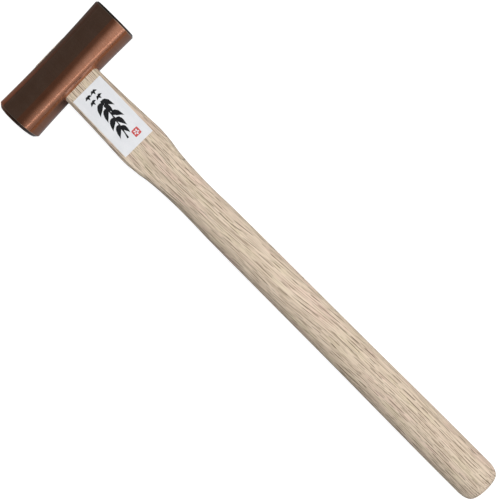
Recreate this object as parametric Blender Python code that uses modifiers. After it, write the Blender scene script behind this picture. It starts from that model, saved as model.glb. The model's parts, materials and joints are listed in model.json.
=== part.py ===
"""A Japanese carving hammer: a turned bronze head on an oak handle, held by a steel wedge.

The hammer's own frame has its origin where the axes of the head and the handle cross. +X runs along the
handle to the butt, +Y across it, and +Z is up, out of the labelled side of the neck. The whole hammer is then
set down on a table, on both rims of its head and on its butt. All lengths are in metres.
"""

import math

import bmesh
import bpy
import numpy as np
from mathutils import Vector

NAME = "carving_mallet"
GAP = 0.0003  # between pieces that touch on the real hammer
STEPS_AROUND = 64  # facets round the head

# Head: a cylinder that is a little slimmer at its waist, with a bevelled rim round each striking face.
HEAD_LENGTH = 0.0728
HEAD_END_RADIUS = 0.0127
HEAD_WAIST_RADIUS = 0.01195
HEAD_STEPS = 10  # along the curve of its side
HEAD_OFFSET = -0.0004  # along Y, from the handle's middle line
HEAD_SKEW = math.radians(0.35)  # the head isn't quite square to the handle
RIM_BEVEL = {1: 0.0011, -1: 0.0018}  # at the +Y and the -Y end

# Handle: full widths (along Y) and thicknesses (along Z) at distances from the head's axis.
TENON_END = -0.0113
HANDLE_END = 0.3000
WIDTHS = (
    (-0.012, 0.0220),
    (0.012, 0.0223),
    (0.030, 0.0230),
    (0.045, 0.0241),
    (0.056, 0.0249),
    (0.063, 0.0240),
    (0.070, 0.0219),
    (0.080, 0.0204),
    (0.093, 0.0197),
    (0.115, 0.0206),
    (0.200, 0.0212),
    (0.275, 0.0222),
    (0.300, 0.0222),
)
# The tenon has even flats. From the head's surface on, the neck's flats spread, straight as far as the label.
NECK_START = 0.011
NECK_STRAIGHT = (0.0130, 0.0145, 0.0560, 0.0600)  # places on the straight stretch
NECK_SLOPE = 0.05  # rise of each flat over the length
TENON_THICKNESS = 0.0096
GRIP_THICKNESSES = ((0.080, 0.0160), (0.110, 0.0168), (0.200, 0.0172), (0.300, 0.0172))
NECK_CHAMFER = 0.0013
OVAL_START = 0.050  # the section turns from a chamfered rectangle into an oval between these
OVAL_END = 0.100
BUTT_ROUND = 0.0070  # how far before the end its rounding starts
BUTT_INSET = 0.0031  # how much smaller the flat end is, on each side
QUARTER_STEPS = (3, 1, 5)  # facets on a quarter section's side, chamfer and flat
QUARTER_ANGLES = (0, 42, 50, 90)  # where those parts end on the oval, in degrees
NECK_STATION = 0.008
KNEE_STATION = 0.004
GRIP_STATION = 0.0125
BUTT_STEPS = 6

# Wedge: driven into the tenon's end, along the eye's long side.
WEDGE_WIDTH = 0.0120
WEDGE_DEPTH = 0.0160
WEDGE_THICK = 0.0026
WEDGE_THIN = 0.0008
SLOT_OPENING = 0.0030  # how far the slot's cutter runs out of the tenon's end

# Label: a paper rectangle on the upper flat of the neck, glued on a little askew.
LABEL_LENGTH = 0.0390
LABEL_WIDTH = 0.0191
LABEL_THICKNESS = 0.00015
LABEL_CENTRE = 0.0348
LABEL_GAP = 0.0001
LABEL_SKEW = math.radians(-1.0)


def clear_scene():
    for obj in list(bpy.data.objects):
        bpy.data.objects.remove(obj, do_unlink=True)


def make_collection(name):
    collection = bpy.data.collections.new(name)
    bpy.context.scene.collection.children.link(collection)
    return collection


def make_material(name, colour, metallic, roughness):
    material = bpy.data.materials.new(name)
    material.use_nodes = True
    shader = material.node_tree.nodes["Principled BSDF"]
    shader.inputs["Base Color"].default_value = (*colour, 1.0)
    shader.inputs["Metallic"].default_value = metallic
    shader.inputs["Roughness"].default_value = roughness
    return material


def make_object(name, mesh, collection, parent, material=None):
    obj = bpy.data.objects.new(name, mesh)
    collection.objects.link(obj)
    obj.parent = parent
    if material:
        mesh.materials.append(material)
    return obj


def mesh_from(bm, name):
    mesh = bpy.data.meshes.new(name)
    bmesh.ops.recalc_face_normals(bm, faces=bm.faces)
    bm.to_mesh(mesh)
    bm.free()
    return mesh


def cut(obj, cutter):
    """Takes the cutter's shape out of obj."""
    cutter.hide_render = True
    cutter.display_type = "WIRE"
    modifier = obj.modifiers.new(f"cut_{cutter.name}", "BOOLEAN")
    modifier.operation = "DIFFERENCE"
    modifier.solver = "EXACT"
    modifier.object = cutter


def smooth_through(points, x):
    """The height at x of a smooth curve through the points, which doesn't swing past them in between."""
    places, values = np.array(points, float).T
    steps = np.diff(places)
    slopes = np.diff(values) / steps
    tangents = [slopes[0]]
    for before, after in zip(slopes[:-1], slopes[1:]):
        same_way = before * after > 0
        tangents.append(2 * before * after / (before + after) if same_way else 0.0)
    tangents.append(slopes[-1])
    i = int(np.clip(np.searchsorted(places, x) - 1, 0, len(steps) - 1))
    s = (x - places[i]) / steps[i]
    rise = (3 - 2 * s) * s * s
    bend = steps[i] * s * (1 - s) * (tangents[i] * (1 - s) - tangents[i + 1] * s)
    return float(values[i] + (values[i + 1] - values[i]) * rise + bend)


def smoothstep(start, end, x):
    s = min(max((x - start) / (end - start), 0.0), 1.0)
    return s * s * (3 - 2 * s)


def thickness(x):
    """The handle's full thickness: an even tenon, the neck's straight flats, then a smooth grip."""
    tenon = [(TENON_END, TENON_THICKNESS), (NECK_START, TENON_THICKNESS)]
    neck = [(p, TENON_THICKNESS + 2 * NECK_SLOPE * (p - NECK_START)) for p in NECK_STRAIGHT]
    return smooth_through([*tenon, *neck, *GRIP_THICKNESSES], x)


# ---------------------------------------------------------------- head


def head_profile():
    """(radius, height) down the outer side, from the axis at the +Y face to the axis at the -Y face."""
    half = HEAD_LENGTH / 2
    top = half - RIM_BEVEL[1]
    bottom = -half + RIM_BEVEL[-1]
    profile = [(0.0, half), (HEAD_END_RADIUS - RIM_BEVEL[1], half)]
    for height in np.linspace(top, bottom, HEAD_STEPS + 1):
        flare = (abs(height) / half) ** 2
        profile.append((HEAD_WAIST_RADIUS + (HEAD_END_RADIUS - HEAD_WAIST_RADIUS) * flare, float(height)))
    profile += [(HEAD_END_RADIUS - RIM_BEVEL[-1], -half), (0.0, -half)]
    return profile


def make_head(parts, cutters, parent):
    profile = head_profile()
    mesh = bpy.data.meshes.new("head")
    edges = [(i, i + 1) for i in range(len(profile) - 1)]
    mesh.from_pydata([(radius, 0.0, height) for radius, height in profile], edges, [])
    bronze = make_material("bronze", (0.30, 0.17, 0.11), 1.0, 0.38)
    head = make_object("head", mesh, parts, parent, bronze)
    head.rotation_euler = (-math.pi / 2, 0, HEAD_SKEW)
    head.location.y = HEAD_OFFSET
    turn = head.modifiers.new("turn", "SCREW")
    turn.axis = "Z"
    turn.angle = math.tau
    turn.steps = STEPS_AROUND
    turn.render_steps = STEPS_AROUND
    turn.use_merge_vertices = True
    turn.merge_threshold = 0.00001
    turn.use_smooth_shade = True
    cut(head, make_eye_cutter(cutters, parent))
    return head


def make_eye_cutter(cutters, parent):
    """The rectangular eye: the tenon's section at the head's surface, with a gap all round."""
    width = smooth_through(WIDTHS, HEAD_WAIST_RADIUS) + 2 * GAP
    height = thickness(HEAD_WAIST_RADIUS) + 2 * GAP
    bm = bmesh.new()
    bmesh.ops.create_cube(bm, size=1.0)
    bmesh.ops.scale(bm, vec=(4 * HEAD_END_RADIUS, width, height), verts=bm.verts)
    along_x = [e for e in bm.edges if abs(e.verts[0].co.x - e.verts[1].co.x) > HEAD_END_RADIUS]
    bmesh.ops.bevel(bm, geom=along_x, offset=NECK_CHAMFER, segments=1, affect="EDGES")
    return make_object("eye", mesh_from(bm, "eye"), cutters, parent)


# ---------------------------------------------------------------- handle


def quarter_section(half_width, half_thickness, oval):
    """Points of one quarter of the section, from the middle of its side up to the middle of its flat."""
    corners = (
        (half_width, 0.0),
        (half_width, half_thickness - NECK_CHAMFER),
        (half_width - NECK_CHAMFER, half_thickness),
        (0.0, half_thickness),
    )
    points = []
    for i, count in enumerate(QUARTER_STEPS):
        for k in range(count + (i == len(QUARTER_STEPS) - 1)):
            share = k / count
            straight = Vector(corners[i]).lerp(Vector(corners[i + 1]), share)
            angle = math.radians(QUARTER_ANGLES[i] + (QUARTER_ANGLES[i + 1] - QUARTER_ANGLES[i]) * share)
            rounded = Vector((half_width * math.cos(angle), half_thickness * math.sin(angle)))
            points.append(straight.lerp(rounded, oval))
    return points


def full_section(x, inset):
    """The handle's closed section at x, made this much smaller on each side."""
    half_width = smooth_through(WIDTHS, x) / 2 - inset
    half_thickness = thickness(x) / 2 - inset
    quarter = quarter_section(half_width, half_thickness, smoothstep(OVAL_START, OVAL_END, x))
    upper = quarter + [Vector((-p.x, p.y)) for p in reversed(quarter[:-1])]
    lower = [Vector((p.x, -p.y)) for p in reversed(upper[1:-1])]
    return [(x, p.x, p.y) for p in upper + lower]


def handle_stations():
    """(x, inset) of each section from the tenon's end to the butt."""
    neck = np.arange(TENON_END, OVAL_START, NECK_STATION)
    knee = np.arange(OVAL_START, OVAL_END, KNEE_STATION)
    grip = np.arange(OVAL_END, HANDLE_END - BUTT_ROUND, GRIP_STATION)
    stations = [(float(x), 0.0) for x in (*neck, *knee, *grip)]
    for k in range(BUTT_STEPS + 1):
        angle = math.pi / 2 * k / BUTT_STEPS
        x = HANDLE_END - BUTT_ROUND * (1 - math.sin(angle))
        stations.append((x, BUTT_INSET * (1 - math.cos(angle))))
    return stations


def make_handle(parts, cutters, parent):
    bm = bmesh.new()
    rings = [[bm.verts.new(p) for p in full_section(x, inset)] for x, inset in handle_stations()]
    for ring, following in zip(rings[:-1], rings[1:]):
        for i in range(len(ring)):
            j = (i + 1) % len(ring)
            bm.faces.new((ring[i], ring[j], following[j], following[i]))
    bm.faces.new(rings[0])
    bm.faces.new(rings[-1])
    oak = make_material("oak", (0.60, 0.48, 0.36), 0.0, 0.55)
    mesh = mesh_from(bm, "handle")
    handle = make_object("handle", mesh, parts, parent, oak)
    mesh.shade_smooth()
    mesh.set_sharp_from_angle(angle=math.radians(30))
    cut(handle, make_object("wedge_slot", wedge_mesh("wedge_slot", GAP, SLOT_OPENING), cutters, parent))
    return handle


# ---------------------------------------------------------------- wedge and label


def wedge_mesh(name, margin, opening):
    """The wedge's tapered block, this much bigger all round, and this much longer at the tenon's end."""
    bm = bmesh.new()
    bmesh.ops.create_cube(bm, size=1.0)
    for v in bm.verts:
        outer = v.co.x < 0
        thick = WEDGE_THICK if outer else WEDGE_THIN
        v.co.x = TENON_END - opening if outer else TENON_END + WEDGE_DEPTH + margin
        v.co.y *= WEDGE_WIDTH + 2 * margin
        v.co.z *= thick + 2 * margin
    return mesh_from(bm, name)


def make_wedge(parts, parent):
    steel = make_material("steel", (0.55, 0.56, 0.57), 1.0, 0.35)
    return make_object("steel_wedge", wedge_mesh("steel_wedge", 0.0, 0.0), parts, parent, steel)


def make_label(parts, parent):
    bm = bmesh.new()
    bmesh.ops.create_cube(bm, size=1.0)
    bmesh.ops.scale(bm, vec=(LABEL_LENGTH, LABEL_WIDTH, LABEL_THICKNESS), verts=bm.verts)
    paper = make_material("paper", (0.76, 0.78, 0.81), 0.0, 0.6)
    label = make_object("label", mesh_from(bm, "label"), parts, parent, paper)
    slope = math.atan(NECK_SLOPE)
    lift = (LABEL_GAP + LABEL_THICKNESS / 2) / math.cos(slope)
    label.location = (LABEL_CENTRE, 0, thickness(LABEL_CENTRE) / 2 + lift)
    label.rotation_euler = (0, -slope, LABEL_SKEW)
    label.rotation_mode = "ZYX"
    return label


# ---------------------------------------------------------------- assembly


def rest_tilt():
    """The angle at which the handle's underside just meets the table that the head's rims stand on."""
    tilts = []
    for x, inset in handle_stations():
        if x > OVAL_END:
            depth = thickness(x) / 2 - inset
            tilts.append(math.asin(HEAD_END_RADIUS / math.hypot(x, depth)) - math.atan2(depth, x))
    return min(tilts)


def set_down(hammer, parts):
    """Lays the hammer on its butt, head along Y, and centres its bounding box's underside on the origin."""
    hammer.rotation_euler = (0, rest_tilt(), -HEAD_SKEW)
    bpy.context.view_layer.update()
    graph = bpy.context.evaluated_depsgraph_get()
    corners = []
    for obj in parts.objects:
        if obj.type == "MESH":
            evaluated = obj.evaluated_get(graph)
            corners += [evaluated.matrix_world @ v.co for v in evaluated.data.vertices]
    low = np.min(corners, axis=0)
    high = np.max(corners, axis=0)
    hammer.location = (-(low[0] + high[0]) / 2, -(low[1] + high[1]) / 2, -low[2])
    bpy.context.view_layer.update()


def main():
    clear_scene()
    parts = make_collection(NAME)
    cutters = make_collection("cutters")
    hammer = bpy.data.objects.new("hammer", None)
    parts.objects.link(hammer)
    make_head(parts, cutters, hammer)
    make_handle(parts, cutters, hammer)
    make_wedge(parts, hammer)
    make_label(parts, hammer)
    set_down(hammer, parts)


main()
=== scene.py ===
"""The looks of a carving hammer: a bronze head on a pale oak handle, with a steel wedge and a paper label.

The pieces are modelled in the hammer's own frame and then placed by one matrix, HAMMER: the origin is on
the handle's axis where it meets the head's, +X runs along the handle to the butt, +Y across it, and +Z is
up, out of the labelled side. The head, which isn't quite square to the handle, has a frame of its own, HEAD,
with +Y along it. Lengths are in metres, apart from the label's drawing and the textures, which are in
millimetres.
"""

import json
import math

import bmesh
import bpy
import numpy as np
from mathutils import Matrix, Vector, noise


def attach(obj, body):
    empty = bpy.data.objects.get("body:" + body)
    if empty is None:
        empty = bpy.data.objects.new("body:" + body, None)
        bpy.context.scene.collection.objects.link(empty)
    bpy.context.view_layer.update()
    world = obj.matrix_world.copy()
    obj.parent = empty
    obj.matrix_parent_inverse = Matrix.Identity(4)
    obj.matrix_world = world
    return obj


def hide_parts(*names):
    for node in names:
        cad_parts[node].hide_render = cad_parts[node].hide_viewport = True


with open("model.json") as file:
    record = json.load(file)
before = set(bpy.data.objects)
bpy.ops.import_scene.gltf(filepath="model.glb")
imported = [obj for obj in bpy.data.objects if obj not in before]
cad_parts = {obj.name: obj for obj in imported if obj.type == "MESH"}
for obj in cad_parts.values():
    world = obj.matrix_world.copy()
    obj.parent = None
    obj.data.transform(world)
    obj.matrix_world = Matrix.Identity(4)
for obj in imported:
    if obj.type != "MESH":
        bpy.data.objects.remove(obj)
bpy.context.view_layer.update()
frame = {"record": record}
BODY = "root"
MM = 0.001

# ---------------------------------------------------------------- the hammer's frame, from its mounts

MOUNTS = {mount["name"]: mount for mount in frame["record"]["mounts"]}
FACE_RIGHT = Vector(MOUNTS["striking_face_right"]["pos_m"])
FACE_LEFT = Vector(MOUNTS["striking_face_left"]["pos_m"])
BUTT = Vector(MOUNTS["butt_face"]["pos_m"])
ALONG = Vector(MOUNTS["butt_face"]["axis"]).normalized()
ACROSS = Vector(MOUNTS["striking_face_right"]["axis"]).normalized()
UP = ALONG.cross(ACROSS).normalized()


def frame_at(origin, x_axis, y_axis, z_axis):
    return Matrix.Translation(origin) @ Matrix((x_axis, y_axis, z_axis)).transposed().to_4x4()


HANDLE_END = 0.3000
HAMMER = frame_at(BUTT - ALONG * HANDLE_END, ALONG, UP.cross(ALONG), UP)
HEAD = frame_at((FACE_RIGHT + FACE_LEFT) / 2, ACROSS.cross(UP), ACROSS, UP)

# Head: a cylinder that is a little slimmer at its waist, with a bevelled rim round each striking face.
HEAD_LENGTH = (FACE_RIGHT - FACE_LEFT).length
HEAD_END_RADIUS = FACE_RIGHT.z
WAIST_DEPTH = 0.00075
HEAD_WAIST_RADIUS = HEAD_END_RADIUS - WAIST_DEPTH
RIM_BEVEL = {1: 0.0011, -1: 0.0018}  # at the +Y and the -Y end
RIM_SOFTNESS = 0.00022  # radius of the worn edges of each bevel
RIM_REACH = 2.2  # how many bevels' length each rim takes of the head's side
HEAD_TURN_STEPS = 192
EYE_MARGIN = 0.00004  # between the eye and the tenon, and between the tenon's slot and the wedge
CREASE_ANGLE = 28  # edges of the head and handle sharper than this many degrees are shaded as edges

# Handle: full widths (along Y) and thicknesses (along Z) at distances from the head's axis.
TENON_END = -0.0113
WIDTHS = (
    (-0.012, 0.0220),
    (0.012, 0.0223),
    (0.030, 0.0230),
    (0.045, 0.0241),
    (0.056, 0.0249),
    (0.063, 0.0240),
    (0.070, 0.0219),
    (0.080, 0.0204),
    (0.093, 0.0197),
    (0.115, 0.0206),
    (0.200, 0.0212),
    (0.275, 0.0222),
    (0.300, 0.0222),
)
NECK_START = 0.011
NECK_STRAIGHT = (0.0130, 0.0145, 0.0560, 0.0600)  # distances where the neck's flats are straight
NECK_SLOPE = 0.05  # how fast each flat rises along the handle
TENON_THICKNESS = 0.0096
GRIP_THICKNESSES = ((0.080, 0.0160), (0.110, 0.0168), (0.200, 0.0172), (0.300, 0.0172))
NECK_CHAMFER = 0.0013
CHAMFER_SOFTNESS = 0.00035
OVAL_START = 0.050
OVAL_END = 0.100
BUTT_ROUND = 0.0070  # length of the butt's rounding along the handle
BUTT_INSET = 0.0031  # how far its end is in from the side
BUTT_STEPS = 16
TENON_ARRIS = 0.0002  # how much the edges of the tenon's end are eased
FIRST_STATION = -0.010
NECK_STEP = 0.001  # from one of the neck's sections to the next
GRIP_STEP = 0.002

# A quarter section's points, as (from, to, count) in steps of its softened outline: its side, one end of its
# chamfer, the chamfer, its other end, and its flat.
SECTION_POINTS = ((0, 1, 4), (1, 5, 4), (5, 6, 3), (6, 10, 4), (10, 11, 9))

# Wedge and label
WEDGE_WIDTH = 0.0120
WEDGE_DEPTH = 0.0160
WEDGE_THICK = 0.0026
WEDGE_THIN = 0.0008
WEDGE_BEVEL = 0.00015
BRUISE_REACH = 0.0004  # how far in from its struck end the wedge is bruised
BRUISE_DEPTH = 0.00008
SLOT_OPENING = 0.001  # how far the slot's cutter stands out of the tenon's end
LABEL_LENGTH = 0.0390
LABEL_WIDTH = 0.0191
LABEL_CENTRE = 0.0348
LABEL_LIFT = 0.0001
LABEL_THICKNESS = 0.00015
LABEL_SKEW = math.radians(-1.0)


# ---------------------------------------------------------------- shapes


def smooth_through(points, x):
    """The height at x of a smooth curve through the points, which doesn't swing past them in between."""
    places, values = np.array(points, float).T
    steps = np.diff(places)
    slopes = np.diff(values) / steps
    tangents = [slopes[0]]
    for before, after in zip(slopes[:-1], slopes[1:]):
        same_way = before * after > 0
        tangents.append(2 * before * after / (before + after) if same_way else 0.0)
    tangents.append(slopes[-1])
    i = int(np.clip(np.searchsorted(places, x) - 1, 0, len(steps) - 1))
    s = (x - places[i]) / steps[i]
    rise = (3 - 2 * s) * s * s
    bend = steps[i] * s * (1 - s) * (tangents[i] * (1 - s) - tangents[i + 1] * s)
    return float(values[i] + (values[i + 1] - values[i]) * rise + bend)


def smoothstep(start, end, x):
    s = min(max((x - start) / (end - start), 0.0), 1.0)
    return s * s * (3 - 2 * s)


def place(name, mesh, replaces=None, where=HAMMER):
    """Makes a piece of the object from a mesh that is in the hammer's frame, or in the head's."""
    piece = bpy.data.objects.new(name, mesh)
    bpy.context.scene.collection.objects.link(piece)
    piece.matrix_world = where
    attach(piece, BODY)
    if replaces:
        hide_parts(replaces)
    return piece


def mesh_from(bm, name):
    mesh = bpy.data.meshes.new(name)
    bmesh.ops.recalc_face_normals(bm, faces=bm.faces)
    bm.to_mesh(mesh)
    bm.free()
    return mesh


def bridge(bm, ring, following):
    """Joins two closed rings of vertices with quads."""
    for i in range(len(ring)):
        j = (i + 1) % len(ring)
        bm.faces.new((ring[i], ring[j], following[j], following[i]))


def apply_modifiers(piece):
    """Makes the evaluated mesh the piece's own."""
    graph = bpy.context.evaluated_depsgraph_get()
    mesh = bpy.data.meshes.new_from_object(piece.evaluated_get(graph))
    piece.modifiers.clear()
    piece.data = mesh


def shade_smooth(piece, angle):
    piece.data.shade_smooth()
    piece.data.set_sharp_from_angle(angle=math.radians(angle))


def cut_mesh(mesh, cutter_mesh):
    """The mesh with the cutter's shape taken out."""
    body = bpy.data.objects.new("body", mesh)
    cutter = bpy.data.objects.new("cutter", cutter_mesh)
    for obj in (body, cutter):
        bpy.context.scene.collection.objects.link(obj)
    modifier = body.modifiers.new("cut", "BOOLEAN")
    modifier.operation = "DIFFERENCE"
    modifier.object = cutter
    apply_modifiers(body)
    result = body.data
    for obj in (body, cutter):
        bpy.data.objects.remove(obj)
    return result


# ---------------------------------------------------------------- head


def softened(corners, radius, steps=4):
    """A profile's points, with a small curve that starts this far from each inner corner in its place."""
    points = [corners[0]]
    for before, corner, after in zip(corners[:-2], corners[1:-1], corners[2:]):
        start = corner + (before - corner).normalized() * radius
        end = corner + (after - corner).normalized() * radius
        for k in range(steps + 1):
            s = k / steps
            points.append((1 - s) ** 2 * start + 2 * s * (1 - s) * corner + s * s * end)
    points.append(corners[-1])
    return points


def head_radius(height):
    """The radius of the head's side at a distance along the head from its middle."""
    flare = (abs(height) / (HEAD_LENGTH / 2)) ** 2
    return HEAD_WAIST_RADIUS + (HEAD_END_RADIUS - HEAD_WAIST_RADIUS) * flare


def head_profile():
    """(radius, height) from the axis at the +Y face to the axis at the -Y face."""
    half = HEAD_LENGTH / 2
    side = np.linspace(half - RIM_REACH * RIM_BEVEL[1], -half + RIM_REACH * RIM_BEVEL[-1], 60)
    profile = []
    for end in (1, -1):
        bevel = RIM_BEVEL[end]
        corners = [
            Vector((HEAD_END_RADIUS * 0.6, end * half)),
            Vector((HEAD_END_RADIUS - bevel, end * half)),
            Vector((head_radius(half - bevel), end * (half - bevel))),
            Vector((head_radius(half - 2 * bevel), end * (half - 2 * bevel))),
        ]
        rim = [Vector((0.0, end * half))] + softened(corners, RIM_SOFTNESS)
        profile += rim if end == 1 else rim[::-1]
        if end == 1:
            profile += [Vector((head_radius(h), h)) for h in side]
    return profile


def make_head():
    """The profile turned round the head's axis, with the eye cut through it."""
    profile = head_profile()
    mesh = bpy.data.meshes.new("head_profile")
    edges = [(i, i + 1) for i in range(len(profile) - 1)]
    mesh.from_pydata([(p.x, p.y, 0.0) for p in profile], edges, [])
    turned = bpy.data.objects.new("turned", mesh)
    bpy.context.scene.collection.objects.link(turned)
    turn = turned.modifiers.new("turn", "SCREW")
    turn.axis = "Y"
    turn.steps = HEAD_TURN_STEPS
    turn.render_steps = HEAD_TURN_STEPS
    turn.use_merge_vertices = True
    turn.merge_threshold = 0.000001
    turn.use_normal_calculate = True
    apply_modifiers(turned)
    bm = bmesh.new()
    bm.from_mesh(turned.data)
    bpy.data.objects.remove(turned)
    mesh = cut_mesh(mesh_from(bm, "turned_head"), eye_mesh())
    piece = place("bronze_head", mesh, "head", HEAD)
    shade_smooth(piece, CREASE_ANGLE)
    return piece


def eye_mesh():
    """The block that cuts the head's eye: the tenon's section at the head's surface."""
    x = HEAD_WAIST_RADIUS
    half_width = smooth_through(WIDTHS, x) / 2 + EYE_MARGIN
    half_thickness = thickness(x) / 2 + EYE_MARGIN
    quarter = quarter_section(half_width, half_thickness, 0.0)
    bm = bmesh.new()
    rings = []
    for end in (-2 * HEAD_END_RADIUS, 2 * HEAD_END_RADIUS):
        rings.append([bm.verts.new((end, p.x, p.y)) for p in whole_section(quarter)])
    bridge(bm, *rings)
    bm.faces.new(rings[0])
    bm.faces.new(rings[1])
    mesh = mesh_from(bm, "eye")
    mesh.transform(HEAD.inverted() @ HAMMER)
    return mesh


# ---------------------------------------------------------------- handle


def thickness(x):
    """The handle's full thickness: an even tenon, the neck's straight flats, then a smooth grip."""
    tenon = [(TENON_END, TENON_THICKNESS), (NECK_START, TENON_THICKNESS)]
    neck = [(p, TENON_THICKNESS + 2 * NECK_SLOPE * (p - NECK_START)) for p in NECK_STRAIGHT]
    return smooth_through([*tenon, *neck, *GRIP_THICKNESSES], x)


def quarter_section(half_width, half_thickness, oval):
    """Points of one quarter of the section, from the middle of its side up to the middle of its flat: an
    oblong with a chamfered corner where oval is 0, an ellipse where it is 1."""
    corners = [
        Vector((half_width, 0.0)),
        Vector((half_width, half_thickness - NECK_CHAMFER)),
        Vector((half_width - NECK_CHAMFER, half_thickness)),
        Vector((0.0, half_thickness)),
    ]
    outline = softened(corners, CHAMFER_SOFTNESS)
    points = []
    for start, end, count in SECTION_POINTS:
        for k in range(count):
            place_on = start + (end - start) * k / count
            i = int(place_on)
            points.append(outline[i].lerp(outline[i + 1], place_on - i))
    points.append(outline[-1])
    if oval > 0:
        for i, p in enumerate(points):
            angle = math.atan2(p.y / half_thickness, p.x / half_width)
            rounded = Vector((half_width * math.cos(angle), half_thickness * math.sin(angle)))
            points[i] = p.lerp(rounded, oval)
    return points


def whole_section(quarter):
    upper = quarter + [Vector((-p.x, p.y)) for p in reversed(quarter[:-1])]
    return upper + [Vector((p.x, -p.y)) for p in reversed(upper[1:-1])]


def handle_section(x, inset):
    half_width = smooth_through(WIDTHS, x) / 2 - inset
    half_thickness = thickness(x) / 2 - inset
    quarter = quarter_section(half_width, half_thickness, smoothstep(OVAL_START, OVAL_END, x))
    return [(x, p.x, p.y) for p in whole_section(quarter)]


def handle_stations():
    """(x, inset) of each section from the tenon's end to the butt."""
    stations = [(TENON_END, TENON_ARRIS), (TENON_END + TENON_ARRIS, 0.0)]
    stations += [(float(x), 0.0) for x in np.arange(FIRST_STATION, OVAL_END, NECK_STEP)]
    stations += [(float(x), 0.0) for x in np.arange(OVAL_END, HANDLE_END - BUTT_ROUND, GRIP_STEP)]
    for k in range(BUTT_STEPS + 1):
        angle = math.pi / 2 * k / BUTT_STEPS
        x = HANDLE_END - BUTT_ROUND * (1 - math.sin(angle))
        stations.append((x, BUTT_INSET * (1 - math.cos(angle))))
    return stations


def make_handle():
    """A loft from the tenon's end to the butt, with a slot for the wedge."""
    bm = bmesh.new()
    rings = [[bm.verts.new(p) for p in handle_section(x, inset)] for x, inset in handle_stations()]
    for ring, following in zip(rings[:-1], rings[1:]):
        bridge(bm, ring, following)
    bm.faces.new(rings[0])
    bm.faces.new(rings[-1])
    slot = wedge_mesh("slot", EYE_MARGIN, SLOT_OPENING)
    piece = place("oak_handle", cut_mesh(mesh_from(bm, "loft"), slot), "handle")
    shade_smooth(piece, CREASE_ANGLE)
    return piece


# ---------------------------------------------------------------- wedge


def wedge_mesh(name, margin, opening):
    """The wedge's tapered block, this much bigger all round, and this much longer at the tenon's end."""
    bm = bmesh.new()
    bmesh.ops.create_cube(bm, size=1.0)
    for v in bm.verts:
        outer = v.co.x < 0
        thick = WEDGE_THICK if outer else WEDGE_THIN
        v.co.x = TENON_END - opening if outer else TENON_END + WEDGE_DEPTH + margin
        v.co.y *= WEDGE_WIDTH + 2 * margin
        v.co.z *= thick + 2 * margin
    return mesh_from(bm, name)


def make_wedge():
    """The steel wedge, its struck end bruised by the hammer that drove it."""
    bm = bmesh.new()
    bm.from_mesh(wedge_mesh("block", 0.0, 0.0))
    bmesh.ops.bevel(bm, geom=bm.edges, offset=WEDGE_BEVEL, segments=2, affect="EDGES")
    bmesh.ops.subdivide_edges(bm, edges=bm.edges, cuts=5, use_grid_fill=True)
    for v in bm.verts:
        if v.co.x < TENON_END + BRUISE_REACH:
            bruise = noise.noise(Vector((v.co.y, v.co.z, 0.0)) / MM * 0.9)
            v.co.x += BRUISE_DEPTH * (1 + bruise)
    piece = place("steel_wedge_driven", mesh_from(bm, "wedge"), "steel_wedge")
    shade_smooth(piece, 35)
    return piece


# ---------------------------------------------------------------- label

# The label's own frame: u along the handle and v along the head, from its middle, w up off the paper.
SLOPE = math.atan(NECK_SLOPE)
LABEL_BASE = Vector((LABEL_CENTRE, 0, thickness(LABEL_CENTRE) / 2))
LABEL_FRAME = (
    Matrix.Translation(LABEL_BASE)
    @ Matrix.Rotation(-SLOPE, 4, "Y")
    @ Matrix.Rotation(LABEL_SKEW, 4, "Z")
)


def on_label(u, v, w):
    """A point on the label, from millimetres along, across and above it."""
    return LABEL_FRAME @ Vector((u * MM, v * MM, LABEL_LIFT + LABEL_THICKNESS + w * MM))


LABEL_COLUMNS = 78
LABEL_ROWS = 38
# Levels of the sheet, in millimetres up from the CAD label's top
SHEET_TOP = -0.01
SHEET_UNDERSIDE = -0.16
EDGE_DROP = 0.03  # how much lower its edges are
GLUE_SWELL = 0.018


def make_label():
    """A paper sheet with cut edges that lie down to the wood, and a faint swell from its glue."""
    columns = LABEL_COLUMNS
    rows = LABEL_ROWS
    half_u = LABEL_LENGTH / 2 / MM
    half_v = LABEL_WIDTH / 2 / MM
    bm = bmesh.new()
    layers = []
    for under in (False, True):
        layer = []
        for i in range(columns + 1):
            line = []
            for j in range(rows + 1):
                u = half_u * (2 * i / columns - 1)
                v = half_v * (2 * j / rows - 1)
                edge = min(half_u - abs(u), half_v - abs(v))
                swell = GLUE_SWELL * noise.noise(Vector((u * 0.22, v * 0.3, 3.0)))
                drop = EDGE_DROP * (1 - smoothstep(0.0, 0.5, edge))
                top_level = SHEET_TOP - drop + swell * smoothstep(0.0, 1.5, edge)
                line.append(bm.verts.new(on_label(u, v, SHEET_UNDERSIDE if under else top_level)))
            layer.append(line)
        layers.append(layer)
    for layer in layers:
        for i in range(columns):
            for j in range(rows):
                bm.faces.new((layer[i][j], layer[i + 1][j], layer[i + 1][j + 1], layer[i][j + 1]))
    top, bottom = layers
    border = [(i, 0) for i in range(columns)] + [(columns, j) for j in range(rows)]
    border += [(i, rows) for i in range(columns, 0, -1)] + [(0, j) for j in range(rows, 0, -1)]
    for (i, j), (k, m) in zip(border, border[1:] + border[:1]):
        bm.faces.new((top[i][j], top[k][m], bottom[k][m], bottom[i][j]))
    piece = place("paper_label", mesh_from(bm, "label_sheet"), "label")
    shade_smooth(piece, 40)
    return piece


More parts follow.
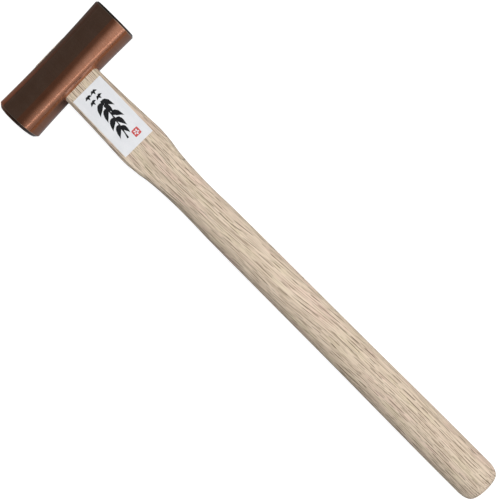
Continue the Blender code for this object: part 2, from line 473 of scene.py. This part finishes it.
# A plain ink sketch of a bamboo sprig: (start u, v), (end u, v), bend to one side, and greatest width, all
# in millimetres from the label's middle. Above it are four small tufts of three leaves.
STEM = ((-9.8, 1.0), (13.4, -1.8), 0.9, 1.1)
LEAVES = (
    ((-9.6, 1.2), (-3.4, 4.9), 0.9, 2.8),
    ((-9.0, 0.4), (-3.6, -4.7), -1.0, 2.9),
    ((-7.4, 1.0), (-0.4, 1.7), 0.7, 2.4),
    ((-5.2, 0.2), (1.2, -3.9), -0.8, 2.7),
    ((-2.0, 0.9), (3.8, 4.9), 0.9, 2.8),
    ((0.8, -0.1), (6.0, -5.0), -1.0, 2.9),
    ((1.6, 0.6), (8.4, 2.4), 0.8, 2.6),
    ((5.2, -0.7), (11.4, -4.9), -0.9, 2.7),
    ((6.4, -0.4), (12.4, 1.0), 0.6, 2.2),
)
TUFTS = ((-16.4, 1.5), (-12.9, 1.8), (-16.1, -2.5), (-12.5, -2.6))
TUFT_LEAF = 2.5
TUFT_WIDTH = 1.25
TUFT_SPREAD = 62  # degrees between a tuft's leaves
TUFT_TWIST = 14  # how much further every other tuft is turned
STAMP_CENTRE = (14.1, 3.3)
STAMP_SIZE = 4.0
STAMP_SQUARENESS = 9.0  # the power of its outline's superellipse
STAMP_POINTS = 96
STAMP_RINGS = (1.0, 0.93, 0.6, 0.3)  # as shares of its size
PETALS = 5
PETAL_START = 0.35
PETAL_END = 1.55
PETAL_WIDTH = 0.75
INK_HEIGHT = 0.02
INK_WOBBLE = 0.16  # how much a stroke's width wavers, as a share
STAMP_WOBBLE = 0.06
LEAF_LAYER = 0.0012  # how much higher each leaf lies than the one before it
TUFT_LAYER = 0.0006


def ribbon(bm, start, end, bend, width, profile, level, steps=28):
    """A brush stroke: a low crowned strip along a bent line, as wide at each place as the profile says."""
    start = Vector(start)
    end = Vector(end)
    along = (end - start).normalized()
    side = Vector((-along.y, along.x))
    middle = (start + end) / 2 + side * bend
    rows = []
    for k in range(steps + 1):
        s = k / steps
        point = (1 - s) ** 2 * start + 2 * s * (1 - s) * middle + s * s * end
        half = max(width / 2 * profile(s), 0.01)
        wobble = 1 + INK_WOBBLE * noise.noise(Vector((point.x, point.y, level)) * 1.7)
        row = []
        for share in (-1.0, -0.6, 0.0, 0.6, 1.0):
            spot = point + side * half * share * wobble
            height = INK_HEIGHT * (0.25 + 0.75 * (1 - share * share)) + level
            row.append(bm.verts.new(on_label(spot.x, spot.y, height)))
        rows.append(row)
    for row, following in zip(rows[:-1], rows[1:]):
        for i in range(len(row) - 1):
            bm.faces.new((row[i], row[i + 1], following[i + 1], following[i]))


def leaf_profile(s):
    """Widest at a third of its length, with a round start and a long point."""
    return min(1.0, math.sqrt(s / 0.16)) * (1 - smoothstep(0.3, 1.0, s)) ** 0.75


def stem_profile(s):
    """Narrower at four joints."""
    return 0.75 + 0.25 * math.cos(s * math.tau * 4)


def petal_profile(s):
    """An ellipse."""
    return math.sqrt(max(1 - (2 * s - 1) ** 2, 0.0))


def make_ink():
    """The sprig and the tufts above it, each stroke a little above the one before."""
    bm = bmesh.new()
    start, end, bend, width = STEM
    ribbon(bm, start, end, bend, width, stem_profile, 0.0, 60)
    for i, (start, end, bend, width) in enumerate(LEAVES):
        ribbon(bm, start, end, bend, width, leaf_profile, LEAF_LAYER * (i + 1))
    for i, (u, v) in enumerate(TUFTS):
        for leaf in range(3):
            angle = math.radians((leaf - 1) * TUFT_SPREAD + TUFT_TWIST * (i % 2))
            tip = (u + TUFT_LEAF * math.cos(angle), v + TUFT_LEAF * math.sin(angle))
            ribbon(bm, (u, v), tip, 0.1, TUFT_WIDTH, leaf_profile, TUFT_LAYER * leaf, 16)
    piece = place("label_ink", mesh_from(bm, "ink_strokes"))
    shade_smooth(piece, 60)
    return piece


def make_stamp():
    """A red square stamped a little unevenly, to go round a plain blossom of five petals."""
    bm = bmesh.new()
    u, v = STAMP_CENTRE
    power = STAMP_SQUARENESS
    rings = []
    for share in STAMP_RINGS:
        ring = []
        for k in range(STAMP_POINTS):
            angle = math.tau * k / STAMP_POINTS
            c = math.cos(angle)
            s = math.sin(angle)
            reach = STAMP_SIZE / 2 * share / (abs(c) ** power + abs(s) ** power) ** (1 / power)
            worn = 1 + STAMP_WOBBLE * noise.noise(Vector((c * reach * 2, s * reach * 2, 5.0)))
            height = INK_HEIGHT * (0.2 if share == 1.0 else 0.6)
            ring.append(bm.verts.new(on_label(u + c * reach * worn, v + s * reach * worn, height)))
        rings.append(ring)
    for ring, following in zip(rings[:-1], rings[1:]):
        bridge(bm, ring, following)
    bm.faces.new(rings[-1])
    return place("label_stamp", mesh_from(bm, "stamp"))


def make_blossom():
    """The stamp's five petals, where the paper shows through."""
    bm = bmesh.new()
    u, v = STAMP_CENTRE
    for k in range(PETALS):
        angle = math.tau * k / PETALS
        out = Vector((math.cos(angle), math.sin(angle)))
        start = Vector((u, v)) + out * PETAL_START
        tip = Vector((u, v)) + out * PETAL_END
        ribbon(bm, start, tip, 0.0, PETAL_WIDTH, petal_profile, INK_HEIGHT * 0.7, 12)
    return place("label_blossom", mesh_from(bm, "blossom"))


# ---------------------------------------------------------------- materials

# How deep each material's relief is, in metres.
BRONZE_RELIEF = 0.00001
OAK_RELIEF = 0.00004
PAPER_RELIEF = 0.00001
STEEL_RELIEF = 0.00002


class Shader:
    """A material under construction, whose nodes take numbers, colours or the sockets of other nodes."""

    def __init__(self, name):
        self.material = bpy.data.materials.new(name)
        self.material.use_nodes = True
        self.tree = self.material.node_tree
        self.principled = self.tree.nodes["Principled BSDF"]

    def set(self, node, key, value):
        """Links a socket to the input, or sets the input's own value. A colour may leave out its alpha."""
        if isinstance(value, bpy.types.NodeSocket):
            self.tree.links.new(value, node.inputs[key])
        elif isinstance(value, tuple) and len(value) == 3 and len(node.inputs[key].default_value) == 4:
            node.inputs[key].default_value = (*value, 1.0)
        else:
            node.inputs[key].default_value = value

    def add(self, kind, inputs, **settings):
        node = self.tree.nodes.new("ShaderNode" + kind)
        for key, value in settings.items():
            setattr(node, key, value)
        for key, value in inputs.items():
            self.set(node, key, value)
        return node

    def finish(self, **inputs):
        """Sets the Principled inputs, whose names have _ for each space, and returns the material."""
        for key, value in inputs.items():
            self.set(self.principled, key.replace("_", " "), value)
        return self.material

    def finish_with(self, surface):
        """Puts this surface in the Principled BSDF's place, and returns the material."""
        self.tree.nodes.remove(self.principled)
        self.tree.links.new(surface, self.tree.nodes["Material Output"].inputs["Surface"])
        return self.material

    def position(self):
        """The place on the surface, in millimetres in the object's own frame."""
        where = self.add("TexCoord", {}).outputs["Object"]
        return self.add("VectorMath", {0: where, "Scale": 1 / MM}, operation="SCALE").outputs[0]

    def stretched(self, where, factors):
        return self.add("VectorMath", {0: where, 1: factors}, operation="MULTIPLY").outputs[0]

    def moved(self, where, offset):
        return self.add("VectorMath", {0: where, 1: offset}, operation="ADD").outputs[0]

    def noise(self, where, factors, detail=2.0, roughness=0.5):
        """Noise that changes this many times per millimetre along each axis."""
        vector = self.stretched(where, factors)
        inputs = {"Vector": vector, "Scale": 1.0, "Detail": detail, "Roughness": roughness}
        return self.add("TexNoise", inputs).outputs["Fac"]

    def math(self, operation, a, b=0.0):
        return self.add("Math", {0: a, 1: b}, operation=operation).outputs[0]

    def ramp(self, value, low, high, out_low=0.0, out_high=1.0):
        """A smooth step from out_low at low to out_high at high, which may be the smaller of the two."""
        inputs = {"Value": value, "From Min": low, "From Max": high, "To Min": out_low, "To Max": out_high}
        return self.add("MapRange", inputs, interpolation_type="SMOOTHSTEP").outputs[0]

    def mix(self, share, a, b):
        """Colour a, turning into colour b as the share goes from 0 to 1."""
        node = self.tree.nodes.new("ShaderNodeMix")
        node.data_type = "RGBA"
        self.set(node, 0, share)
        self.set(node, 6, a)
        self.set(node, 7, b)
        return node.outputs[2]

    def bump(self, height, distance):
        inputs = {"Height": height, "Distance": distance, "Strength": 1.0}
        return self.add("Bump", inputs).outputs["Normal"]

    def axes(self, where):
        return self.add("SeparateXYZ", {0: where}).outputs


# A striking face is plain up to the first of these, and the painted shade on its bevel is full from the
# second: millimetres in from the waist's radius.
FACE_EDGE = (2.2, 1.6)
QUARTER_TURN = 0.25


def bronze_material():
    """Brown bronze, thinly lacquered, with painted shade on its bevels and a painted highlight along their
    edges. It is turned, so highlights are spread out along the head and stay sharp round it."""
    shader = Shader("bronze_turned")
    where = shader.position()
    x, along, z = shader.axes(where)
    flat = shader.add("CombineXYZ", {"X": x, "Z": z}).outputs[0]
    radius = shader.add("VectorMath", {0: flat}, operation="LENGTH").outputs["Value"]
    turned = shader.add("CombineXYZ", {"X": along, "Y": radius}).outputs[0]
    lines = shader.noise(turned, (4.2, 4.2, 1.0), detail=3.0, roughness=0.7)
    wide_lines = shader.noise(turned, (0.7, 0.7, 1.0), detail=2.0)
    blotches = shader.noise(where, (0.16, 0.1, 0.16), detail=4.0, roughness=0.6)
    specks = shader.noise(where, (1.6, 1.6, 1.6), detail=3.0, roughness=0.7)
    tone = shader.mix(shader.ramp(blotches, 0.35, 0.65), (0.50, 0.225, 0.14), (0.55, 0.265, 0.175))
    tone = shader.mix(shader.ramp(lines, 0.35, 0.7, 0.0, 0.3), tone, (0.66, 0.35, 0.25))
    tone = shader.mix(shader.ramp(wide_lines, 0.45, 0.75, 0.0, 0.3), tone, (0.42, 0.18, 0.11))
    tone = shader.mix(shader.ramp(specks, 0.4, 0.65, 0.3, 0.0), tone, (0.38, 0.16, 0.09))
    # How far a place is past the bevel's inner edge at the nearer end, towards the face.
    half = HEAD_LENGTH / 2 / MM
    past_right = shader.math("SUBTRACT", along, half - RIM_BEVEL[1] / MM)
    past_left = shader.math("SUBTRACT", shader.math("MULTIPLY", along, -1.0), half - RIM_BEVEL[-1] / MM)
    past = shader.math("MAXIMUM", past_right, past_left)
    on_rim = shader.ramp(radius, *(HEAD_WAIST_RADIUS / MM - inset for inset in FACE_EDGE))
    # bevel: the bevels, which get painted shade; edge: the line along their inner edge, which gets a painted
    # highlight
    bevel = shader.math("MULTIPLY", shader.ramp(past, 0.0, 0.2), on_rim)
    edge = shader.ramp(shader.math("ABSOLUTE", past), 0.25, 0.05)
    # The painted shade on the bevels, then the painted highlight along their edges
    tone = shader.mix(shader.math("MULTIPLY", bevel, 0.9), tone, (0.06, 0.035, 0.028))
    tone = shader.mix(shader.math("MULTIPLY", edge, 0.6), tone, (0.85, 0.64, 0.50))
    height = shader.math("ADD", lines, shader.math("MULTIPLY", wide_lines, 0.6))
    height = shader.math("ADD", height, shader.math("MULTIPLY", specks, 0.3))
    around = shader.add("Tangent", {}, direction_type="RADIAL", axis="Y").outputs[0]
    return shader.finish(
        Base_Color=tone,
        Metallic=1.0,
        Roughness=shader.ramp(blotches, 0.3, 0.7, 0.12, 0.15),
        Anisotropic=1.0,
        Anisotropic_Rotation=QUARTER_TURN,
        Tangent=around,
        Normal=shader.bump(height, BRONZE_RELIEF),
        Coat_Weight=0.3,
        Coat_Roughness=0.05,
    )


# Oak grain, in millimetres in the hammer's frame
GRAIN_TILT = 0.2  # how much its layers lean, as a rise for each unit across
GRAIN_SWAY = 1.5  # how far they wander sideways at most, in spacings
ROW_SHIFT = 5.37  # how far apart two rows' breaks are taken from the noise, so that the rows differ
DASH_BREAKS = (0.46, 0.56)  # the noise from which a row has no dash and has a full one
FLAT_LAYER = (0.75, 0.99)  # how flat a layer lies to the surface where its lines start and stop thinning
FLAT_THICKNESS = 0.3  # how thick its lines still are there, as a share
PORE_PLACE = (3.0, 7.0, 1.0)  # the pores and the hue read their noise this far off, to differ from the rest
HUE_PLACE = (40.0, 9.0, 5.0)
DRIFT_ALONG = (70.0, 245.0)  # the grain drifts sideways between these distances along the handle
DRIFT_ACROSS = (0.0, -8.0)
NECK_EDGE = (11.1, 12.4)  # the neck's half width at its start and at its knee
NECK_FADE = 12.0  # how far past the knee the chamfers' painted shade fades out
CHAMFER_WIDTH = 1.25  # as seen from above


def grain_dashes(shader, where, spacing, length, thickness):
    """A mask of thin dashes along X: the cut edges of leaning layers this far apart, each broken into dashes
    of about this length. The thickness is a share of the spacing, and less where a layer lies flat to the
    surface, so that it doesn't show as a broad patch there."""
    x, y, z = shader.axes(where)
    across = shader.math("ADD", y, shader.math("MULTIPLY", z, GRAIN_TILT))
    sway = shader.noise(where, (0.03, 0.25, 0.1), detail=1.0)
    sway = shader.math("MULTIPLY", sway, GRAIN_SWAY)
    layer = shader.math("ADD", shader.math("DIVIDE", across, spacing), sway)
    normal = shader.add("TexCoord", {}).outputs["Normal"]
    leaning = tuple(Vector((0.0, 1.0, GRAIN_TILT)).normalized())
    facing = shader.add("VectorMath", {0: normal, 1: leaning}, operation="DOT_PRODUCT").outputs["Value"]
    facing = shader.math("ABSOLUTE", facing)
    cut_width = shader.ramp(facing, *FLAT_LAYER, thickness, thickness * FLAT_THICKNESS)
    off_line = shader.math("ABSOLUTE", shader.math("SUBTRACT", shader.math("FRACT", layer), 0.5))
    line = shader.ramp(off_line, cut_width, shader.math("MULTIPLY", cut_width, 0.5))
    row = shader.math("MULTIPLY", shader.math("FLOOR", layer), ROW_SHIFT)
    along_row = shader.add("CombineXYZ", {"X": x, "Y": row}).outputs[0]
    breaks = shader.noise(along_row, (1 / length, 1.0, 1.0), detail=1.0)
    return shader.math("MULTIPLY", line, shader.ramp(breaks, *DASH_BREAKS))


def oak_material():
    """Pale planed oak. Its grain runs along X and drifts sideways down the grip, and its pores and rays show
    as thin dashes in even rows. The neck's chamfers and their arris carry painted shade."""
    shader = Shader("oak_planed")
    where = shader.position()
    x, y, _ = shader.axes(where)
    neck_edge = shader.ramp(x, NECK_START / MM, OVAL_START / MM, *NECK_EDGE)
    neck_only = shader.ramp(x, OVAL_START / MM + NECK_FADE, OVAL_START / MM)
    past_edge = shader.math("SUBTRACT", shader.math("ABSOLUTE", y), neck_edge)
    past_arris = shader.math("ADD", past_edge, CHAMFER_WIDTH)
    # Painted shade on the neck's chamfers, and a darker painted shade line along their arris
    chamfer_shade = shader.math("MULTIPLY", shader.ramp(past_arris, -0.2, 0.0), neck_only)
    arris_shade = shader.ramp(shader.math("ABSOLUTE", past_arris), 0.45, 0.1)
    arris_shade = shader.math("MULTIPLY", arris_shade, neck_only)
    drift = shader.ramp(x, *DRIFT_ALONG, *DRIFT_ACROSS)
    sway = shader.noise(where, (0.02, 0.05, 0.05), detail=1.0)
    shift = shader.math("ADD", drift, shader.math("MULTIPLY", shader.math("SUBTRACT", sway, 0.5), 2.5))
    where = shader.moved(where, shader.add("CombineXYZ", {"Y": shift}).outputs[0])
    streaks = shader.noise(where, (0.03, 1.8, 1.8), detail=1.0)
    fibres = shader.noise(where, (0.06, 2.6, 2.6), detail=0.0)
    patches = shader.noise(where, (0.02, 0.16, 0.12), detail=2.0)
    hue = shader.noise(shader.moved(where, HUE_PLACE), (0.05, 0.25, 0.2), detail=2.0)
    tone = shader.mix(shader.ramp(patches, 0.35, 0.65), (0.62, 0.495, 0.378), (0.64, 0.515, 0.398))
    tone = shader.mix(shader.ramp(hue, 0.52, 0.68, 0.0, 0.6), tone, (0.67, 0.49, 0.405))
    tone = shader.mix(shader.ramp(hue, 0.46, 0.32, 0.0, 0.5), tone, (0.615, 0.52, 0.365))
    tone = shader.mix(shader.ramp(streaks, 0.45, 0.3, 0.0, 0.3), tone, (0.42, 0.31, 0.22))
    tone = shader.mix(shader.ramp(fibres, 0.50, 0.62, 0.0, 0.3), tone, (0.86, 0.73, 0.60))
    tone = shader.mix(shader.ramp(fibres, 0.48, 0.34, 0.0, 0.25), tone, (0.22, 0.15, 0.10))
    pores = grain_dashes(shader, shader.moved(where, PORE_PLACE), spacing=0.93, length=6.5, thickness=0.17)
    rays = grain_dashes(shader, where, spacing=1.37, length=9.0, thickness=0.13)
    tone = shader.mix(shader.math("MULTIPLY", pores, 0.6), tone, (0.19, 0.13, 0.085))
    tone = shader.mix(shader.math("MULTIPLY", rays, 0.8), tone, (0.10, 0.065, 0.04))
    # The painted shade on the chamfers and along their arris
    tone = shader.mix(shader.math("MULTIPLY", chamfer_shade, 0.14), tone, (0.25, 0.19, 0.15))
    tone = shader.mix(shader.math("MULTIPLY", arris_shade, 0.3), tone, (0.2, 0.15, 0.12))
    dents = shader.math("ADD", rays, shader.math("MULTIPLY", pores, 0.5))
    height = shader.math("SUBTRACT", shader.math("MULTIPLY", fibres, 0.5), dents)
    return shader.finish(
        Base_Color=tone,
        Roughness=shader.ramp(fibres, 0.3, 0.7, 0.62, 0.5),
        Specular_IOR_Level=0.3,
        Normal=shader.bump(height, OAK_RELIEF),
    )


def paper_material():
    """White paper, faintly glossy and cloudy, with its fibres just showing."""
    shader = Shader("paper_white")
    where = shader.position()
    fibres = shader.noise(where, (2.5, 1.2, 1.0), detail=4.0, roughness=0.65)
    clouds = shader.noise(where, (0.12, 0.2, 0.2), detail=2.0)
    tone = shader.mix(shader.ramp(clouds, 0.3, 0.7), (0.745, 0.74, 0.76), (0.79, 0.78, 0.795))
    tone = shader.mix(shader.ramp(fibres, 0.35, 0.6, 0.25, 0.0), tone, (0.68, 0.675, 0.70))
    return shader.finish(
        Base_Color=tone,
        Roughness=0.5,
        Specular_IOR_Level=0.35,
        Normal=shader.bump(fibres, PAPER_RELIEF),
    )


def ink_material():
    """Black brush ink, greyer and duller where it is thin."""
    shader = Shader("ink_black")
    where = shader.position()
    thinness = shader.noise(where, (1.1, 1.4, 1.0), detail=3.0)
    tone = shader.mix(shader.ramp(thinness, 0.35, 0.7), (0.008, 0.008, 0.010), (0.022, 0.021, 0.022))
    roughness = shader.ramp(thinness, 0.3, 0.7, 0.38, 0.6)
    return shader.finish(Base_Color=tone, Roughness=roughness, Specular_IOR_Level=0.3)


def stamp_material():
    """Red stamping ink, paler in patches."""
    shader = Shader("ink_red")
    where = shader.position()
    patchy = shader.noise(where, (2.2, 2.2, 2.2), detail=3.0)
    tone = shader.mix(shader.ramp(patchy, 0.4, 0.62), (0.50, 0.035, 0.035), (0.72, 0.16, 0.15))
    return shader.finish(Base_Color=tone, Roughness=0.6, Specular_IOR_Level=0.3)


def steel_material():
    """Plain steel, brushed along the handle, with a few rust spots."""
    shader = Shader("steel_wedge")
    where = shader.position()
    brushed = shader.noise(where, (0.5, 6.0, 6.0), detail=3.0)
    spots = shader.noise(where, (0.9, 0.9, 0.9), detail=4.0)
    tone = shader.mix(shader.ramp(brushed, 0.3, 0.7), (0.48, 0.48, 0.49), (0.60, 0.61, 0.62))
    tone = shader.mix(shader.ramp(spots, 0.55, 0.75, 0.0, 0.7), tone, (0.22, 0.17, 0.13))
    return shader.finish(
        Base_Color=tone,
        Metallic=1.0,
        Roughness=shader.ramp(spots, 0.4, 0.7, 0.32, 0.6),
        Normal=shader.bump(brushed, STEEL_RELIEF),
    )


# ---------------------------------------------------------------- stage, light and camera

CAMERA_TARGET = Vector((-0.0131, 0.0001, 0.0105))
CAMERA_DISTANCE = 0.4267
CAMERA_LENS = 60.24
CAMERA_LEAN_BACK = math.radians(-3.513)
CAMERA_LEAN_SIDE = math.radians(1.233)
CAMERA_TURN = math.radians(45 - 0.321)


def make_camera():
    """Almost straight above, turned so that the hammer lies along the picture's diagonal."""
    lean = Matrix.Rotation(CAMERA_LEAN_SIDE, 3, "Y") @ Matrix.Rotation(CAMERA_LEAN_BACK, 3, "X")
    axes = lean @ Matrix.Rotation(CAMERA_TURN, 3, "Z")
    camera = bpy.data.objects.new("camera", bpy.data.cameras.new("camera"))
    bpy.context.scene.collection.objects.link(camera)
    camera.matrix_world = axes.to_4x4()
    camera.location = CAMERA_TARGET + axes.col[2] * CAMERA_DISTANCE
    camera.data.lens = CAMERA_LENS
    camera.data.clip_start = 0.01
    camera.data.clip_end = 50.0
    bpy.context.scene.camera = camera


def add_sheet(name, low, high, half_width, segments=1):
    """A flat sheet in its own XY plane, from low to high along X and this far to each side along Y."""
    bm = bmesh.new()
    bmesh.ops.create_grid(bm, x_segments=segments, y_segments=segments, size=1.0)
    for v in bm.verts:
        v.co.x = (low + high) / 2 + v.co.x * (high - low) / 2
        v.co.y *= half_width
    mesh = bpy.data.meshes.new(name)
    bm.to_mesh(mesh)
    bm.free()
    sheet = bpy.data.objects.new(name, mesh)
    bpy.context.scene.collection.objects.link(sheet)
    return sheet


FLOOR_REACH = 6.0
FLOOR_TONE = (0.66, 0.65, 0.64)
# What the camera sees: a grey that takes shadows, lit up to white.
FLOOR_SEEN = (0.30, 0.30, 0.30)
FLOOR_GLOW = 0.9
# What the metal mirrors: the table with its shade and light painted on, beyond the head at the left and the
# right, under the head, and by the grip. Each gives way to the next between two places, in millimetres past
# the head or to the right.
FLOOR_BEYOND_LEFT = (0.30, 0.20, 0.16)
FLOOR_BEYOND_RIGHT = (0.13, 0.13, 0.13)
FLOOR_UNDER_HEAD = (0.29, 0.31, 0.33)
FLOOR_BY_GRIP = (0.36, 0.27, 0.19)
LEFT_TO_RIGHT = (-40, 5)
BEYOND_TO_HEAD = (-30, 20)
HEAD_TO_GRIP = (40, 110)


def make_floor():
    """A wide pale table. The camera sees it lit up to white, like a cut-out's background. The metal mirrors
    it as a grey top with painted shade and light, darkest beyond the head at the right."""
    floor = add_sheet("floor", -FLOOR_REACH, FLOOR_REACH, FLOOR_REACH, segments=8)
    shader = Shader("floor_pale")
    x, y, _ = shader.axes(shader.position())
    past_head = shader.math("SUBTRACT", x, HEAD.translation.x / MM)
    grey = shader.mix(shader.ramp(y, *LEFT_TO_RIGHT), FLOOR_BEYOND_LEFT, FLOOR_BEYOND_RIGHT)
    grey = shader.mix(shader.ramp(past_head, *BEYOND_TO_HEAD), grey, FLOOR_UNDER_HEAD)
    grey = shader.mix(shader.ramp(past_head, *HEAD_TO_GRIP), grey, FLOOR_BY_GRIP)
    ray = shader.add("LightPath", {}).outputs
    tone = shader.mix(ray["Is Glossy Ray"], FLOOR_TONE, grey)
    tone = shader.mix(ray["Is Camera Ray"], tone, FLOOR_SEEN)
    table = shader.add("BsdfDiffuse", {"Color": tone}).outputs[0]
    white = shader.add("Emission", {"Strength": FLOOR_GLOW}).outputs[0]
    lit = shader.add("AddShader", {0: table, 1: white}).outputs[0]
    switch = shader.add("MixShader", {0: ray["Is Camera Ray"], 1: table, 2: lit}).outputs[0]
    floor.data.materials.append(shader.finish_with(switch))


# How bright the dark room is in each direction, by the angle in degrees from straight up towards the butt.
STUDIO = (
    (-90, 0.12),
    (-76, 0.10),
    (-40, 0.10),
    (20, 0.11),
    (60, 0.14),
    (80, 0.50),
    (90, 0.45),
)
STUDIO_TINT = (0.95, 1.16, 1.22)
STUDIO_TINT_LIMIT = 0.2  # only what is darker than this is tinted
STUDIO_BACKDROP = (0.93, 0.93, 0.93)


def make_studio():
    """The world: a pale backdrop for the camera, and otherwise a dark room, brighter towards the butt."""
    world = bpy.data.worlds.new("studio")
    bpy.context.scene.world = world
    world.use_nodes = True
    tree = world.node_tree
    background = tree.nodes["Background"]
    direction = tree.nodes.new("ShaderNodeTexCoord")
    axes = tree.nodes.new("ShaderNodeSeparateXYZ")
    angle = tree.nodes.new("ShaderNodeMath")
    angle.operation = "ARCTAN2"
    share = tree.nodes.new("ShaderNodeMapRange")
    share.inputs["From Min"].default_value = -math.pi
    share.inputs["From Max"].default_value = math.pi
    ramp = tree.nodes.new("ShaderNodeValToRGB")
    elements = ramp.color_ramp.elements
    while len(elements) > 1:
        elements.remove(elements[-1])
    for i, (degrees, brightness) in enumerate(STUDIO):
        position = 0.5 + degrees / 360
        element = elements[0] if i == 0 else elements.new(position)
        element.position = position
        tint = STUDIO_TINT if brightness < STUDIO_TINT_LIMIT else (1.0, 1.0, 1.0)
        element.color = (*(brightness * part for part in tint), 1.0)
    switch = tree.nodes.new("ShaderNodeMix")
    switch.data_type = "RGBA"
    switch.inputs[7].default_value = (*STUDIO_BACKDROP, 1.0)
    seen = tree.nodes.new("ShaderNodeLightPath")
    tree.links.new(direction.outputs["Generated"], axes.inputs[0])
    tree.links.new(axes.outputs["X"], angle.inputs[0])
    tree.links.new(axes.outputs["Z"], angle.inputs[1])
    tree.links.new(angle.outputs[0], share.inputs["Value"])
    tree.links.new(share.outputs[0], ramp.inputs[0])
    tree.links.new(seen.outputs["Is Camera Ray"], switch.inputs[0])
    tree.links.new(ramp.outputs[0], switch.inputs[6])
    tree.links.new(switch.outputs[2], background.inputs["Color"])


# The card: its X axis goes up along it and its Y axis to the right, both from where it faces the head.
CARD_ANGLE = math.radians(50)  # from straight up towards the butt, as the head sees it
CARD_DISTANCE = 0.16
CARD_TOP = 0.140
CARD_BOTTOM = -0.118
CARD_HALF_WIDTH = 0.20
# Its glow, with heights and widths in millimetres on the card
CARD_SLANT = 0.52  # how much higher its lit part reaches for each unit to the right
CARD_LEVELS = (80, -40)  # between these heights, from the upper to the lower,
CARD_GLOW = (0.11, 0.60)  # the glow rises by this
CARD_SIDES = (-40, 40)  # between these places, from left to right,
CARD_SIDE_GLOW = (1.0, 1.3)  # it is multiplied by this
# The thin tube lamp across it, lower towards the right, and the dimmer part of the card below it
TUBE_SLANT = -0.55
TUBE_LEVEL = -63.0
TUBE_HALF = 2.8
TUBE_CORE = 0.6  # the share of its width that is fully bright
TUBE_GLOW = 2.4
DIM_LEVELS = (-17, -47)  # between these heights from the tube
DIM_GLOW = (1.0, 0.62)  # the glow is multiplied by this
# The light is warm where the card is dark and nearly white where it is bright.
WARM_LIGHT = (1.12, 0.95, 0.80)
WHITE_LIGHT = (1.03, 1.0, 0.97)
WARM_TO_WHITE = (0.12, 0.5)


def make_card():
    """A glowing card above the handle that only the metal mirrors. It is lit from below, higher at the
    right, and a thin tube lamp lies across it."""
    card = add_sheet("reflector_card", CARD_BOTTOM, CARD_TOP, CARD_HALF_WIDTH)
    away = Vector((math.sin(CARD_ANGLE), 0, math.cos(CARD_ANGLE)))
    raised = Vector((-math.cos(CARD_ANGLE), 0, math.sin(CARD_ANGLE)))
    card.matrix_world = frame_at(HEAD.translation + away * CARD_DISTANCE, raised, Vector((0, 1, 0)), -away)
    for ray in ("camera", "diffuse", "transmission", "volume_scatter", "shadow"):
        setattr(card, f"visible_{ray}", False)
    shader = Shader("card_glow")
    height, right, _ = shader.axes(shader.position())
    level = shader.math("SUBTRACT", height, shader.math("MULTIPLY", right, CARD_SLANT))
    glow = shader.ramp(level, *CARD_LEVELS, *CARD_GLOW)
    glow = shader.math("MULTIPLY", glow, shader.ramp(right, *CARD_SIDES, *CARD_SIDE_GLOW))
    past_tube = shader.math("SUBTRACT", height, shader.math("MULTIPLY", right, TUBE_SLANT))
    past_tube = shader.math("SUBTRACT", past_tube, TUBE_LEVEL)
    glow = shader.math("MULTIPLY", glow, shader.ramp(past_tube, *DIM_LEVELS, *DIM_GLOW))
    off_tube = shader.math("ABSOLUTE", past_tube)
    tube = shader.ramp(off_tube, TUBE_HALF, TUBE_HALF * TUBE_CORE, 0.0, TUBE_GLOW)
    tint = shader.mix(shader.ramp(glow, *WARM_TO_WHITE), WARM_LIGHT, WHITE_LIGHT)
    strength = shader.math("ADD", glow, tube)
    emission = shader.add("Emission", {"Color": tint, "Strength": strength}).outputs[0]
    card.data.materials.append(shader.finish_with(emission))


KEY_SIZE = 0.5
KEY_POWER = 7.0
KEY_PLACE = Vector((0.10, 0.22, 0.75))


def make_key_light():
    """A soft light above the grip, aimed at the hammer. It isn't mirrored in anything."""
    data = bpy.data.lights.new("key", "AREA")
    data.shape = "SQUARE"
    data.size = KEY_SIZE
    data.energy = KEY_POWER
    light = bpy.data.objects.new("key", data)
    bpy.context.scene.collection.objects.link(light)
    light.location = KEY_PLACE
    light.rotation_euler = KEY_PLACE.to_track_quat("Z", "Y").to_euler()
    light.visible_glossy = False
    light.visible_camera = False


# ---------------------------------------------------------------- assembly


def main():
    make_camera()
    paper = paper_material()
    pieces = (
        (make_head(), bronze_material()),
        (make_handle(), oak_material()),
        (make_wedge(), steel_material()),
        (make_label(), paper),
        (make_ink(), ink_material()),
        (make_stamp(), stamp_material()),
        (make_blossom(), paper),
    )
    for piece, material in pieces:
        piece.data.materials.clear()
        piece.data.materials.append(material)
    make_floor()
    make_studio()
    make_card()
    make_key_light()
    bpy.context.scene.view_settings.view_transform = "Standard"


main()
